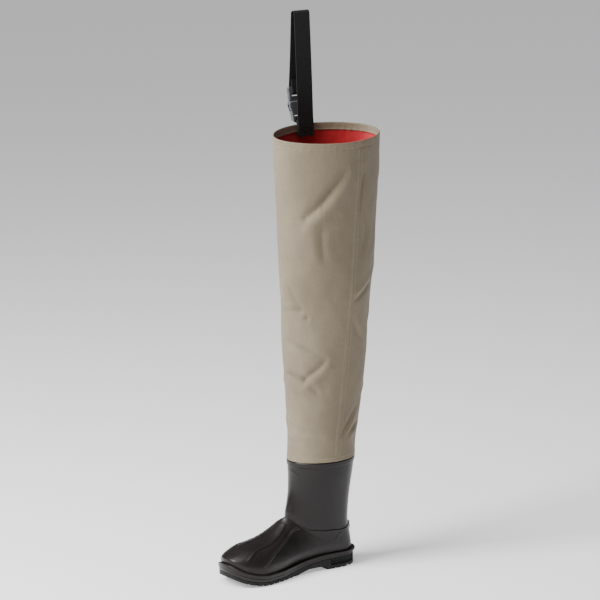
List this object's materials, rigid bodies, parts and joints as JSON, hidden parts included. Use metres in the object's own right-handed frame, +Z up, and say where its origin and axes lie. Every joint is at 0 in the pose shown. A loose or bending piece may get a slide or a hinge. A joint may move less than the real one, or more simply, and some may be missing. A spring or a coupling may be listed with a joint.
{
  "type": "hip wader",
  "caption": "Hip wader for the right foot: moulded rubber boot with lugged sole, coated fabric leg to the hip, and a webbing belt loop with a buckle.",
  "frame": {"origin": "on the floor under the middle of the heel", "axes": "+Z up, -Y to the toe, +X to the inner side of the leg"},
  "size_m": [0.1633, 0.3753, 1.0737],
  "materials": {
    "outsole_rubber": "matte moulded rubber, faintly worn at the lugs",
    "boot_rubber": "satin moulded rubber with a soft sheen",
    "insole_foam": "matte lined foam",
    "leg_fabric": "matte coated nylon with a fine plain weave",
    "leg_lining": "matte red coating inside the leg",
    "webbing": "matte woven webbing",
    "thread": "matte sewing thread",
    "buckle_plastic": "satin moulded plastic"
  },
  "bodies": {
    "root": {"outsole": "outsole_rubber", "midsole_band": "boot_rubber", "insole": "insole_foam", "boot_upper": "boot_rubber", "leg_shaft": "leg_fabric", "hip_strap": "webbing", "buckle_tab": "webbing", "buckle_socket": "buckle_plastic", "buckle_plug": "buckle_plastic"}
  },
  "joints": []
}
